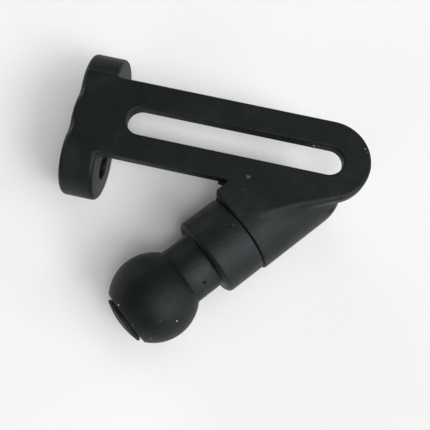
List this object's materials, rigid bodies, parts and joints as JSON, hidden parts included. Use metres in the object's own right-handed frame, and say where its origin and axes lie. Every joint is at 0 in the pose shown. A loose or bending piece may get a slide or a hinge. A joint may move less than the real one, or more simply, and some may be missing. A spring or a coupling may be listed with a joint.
{
  "type": "swivel ball bracket",
  "caption": "Slotted flat arm with a two-eared bolt-on foot and, under its round end, a housing that carries a turning ball stud on a screwed friction swivel.",
  "frame": {"origin": "on the foot's mounting face, midway between the two bolt holes and level with them", "axes": "+X along the arm from the foot to the round end, +Z square to the arm's flat top face, +Y to the side away from the ball"},
  "size_m": [0.0857, 0.0818, 0.0255],
  "materials": {
    "moulded_black": "satin, fine moulded grain",
    "stud_black": "satin, slightly smoother than the bracket",
    "cap_black": "satin",
    "seal_rubber": "matt black rubber",
    "zinc_steel": "bright zinc plated",
    "black_steel": "black oxide",
    "spring_steel": "phosphated spring steel",
    "insert_brass": "plain machined brass",
    "bearing_acetal": "natural acetal"
  },
  "bodies": {
    "bracket": {"bracket_body": "moulded_black", "thread_insert": "insert_brass", "journal_bush": "bearing_acetal", "friction_washer": "bearing_acetal", "seal_ring": "seal_rubber", "spacer_sleeve": "zinc_steel", "head_washer": "zinc_steel", "lock_washer": "spring_steel", "swivel_screw": "black_steel"},
    "stud": {"ball_stud": "stud_black", "thrust_washer": "zinc_steel", "disc_springs": "spring_steel", "cap_seal": "seal_rubber", "end_cap": "cap_black"}
  },
  "joints": [
    {"name": "stud_swivel", "type": "hinge", "parent": "bracket", "child": "stud", "pos_m": [0.05347, -0.02286, 0], "axis": [-0.6361, -0.7716, 0], "continuous": true}
  ]
}
